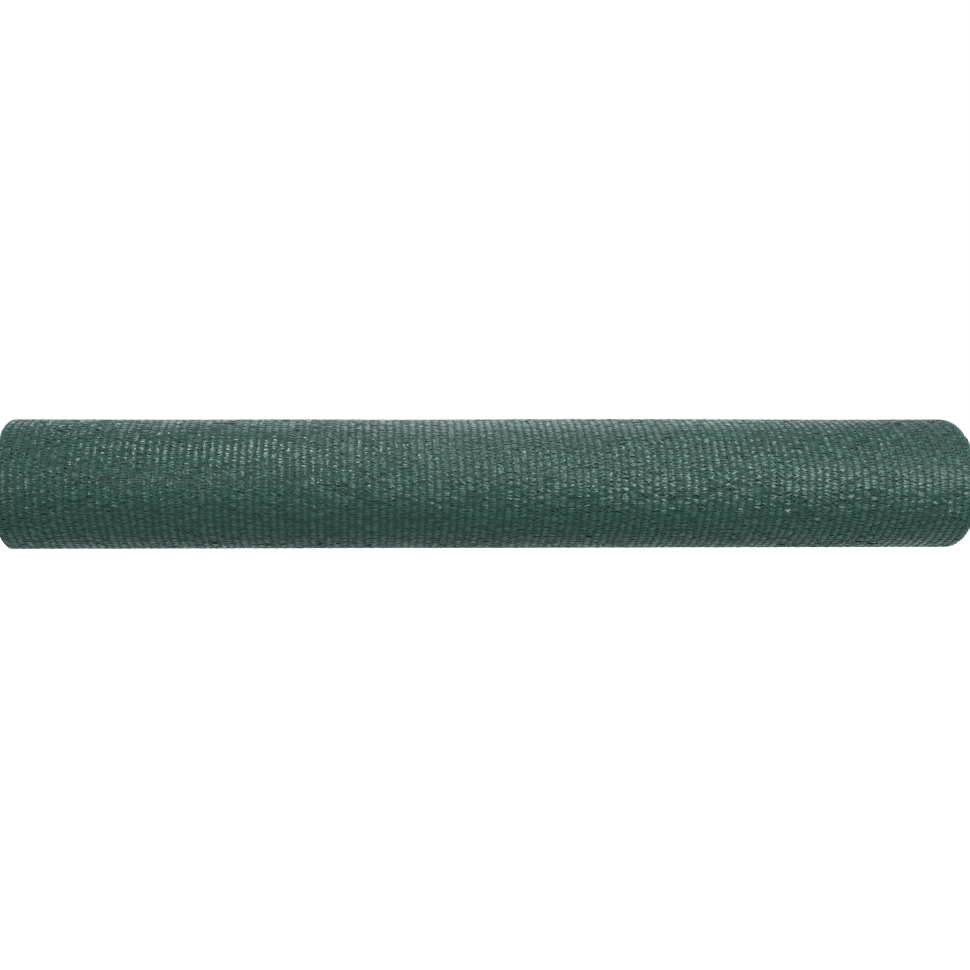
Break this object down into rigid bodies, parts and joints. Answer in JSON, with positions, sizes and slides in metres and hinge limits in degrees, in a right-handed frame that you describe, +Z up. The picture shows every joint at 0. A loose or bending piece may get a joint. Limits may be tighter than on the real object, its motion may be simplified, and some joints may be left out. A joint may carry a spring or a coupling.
{
  "type": "rolled privacy screen netting",
  "caption": "Tightly wound roll of dark green knitted privacy screen netting, lying on its side on a small flat spot, with its wound turns showing at both ends.",
  "frame": {"origin": "on the floor under the middle of the roll, at the bottom centre of its box", "axes": "+X along the roll, +Y towards the back, where the free edge of the last turn lies, +Z up"},
  "size_m": [1.0032, 0.1384, 0.1377],
  "materials": {
    "netting": "dark green knitted plastic tape, in narrow ribs round the roll, with a dull gloss and small bright glints"
  },
  "bodies": {
    "root": {"netting_roll": "netting"}
  },
  "joints": []
}
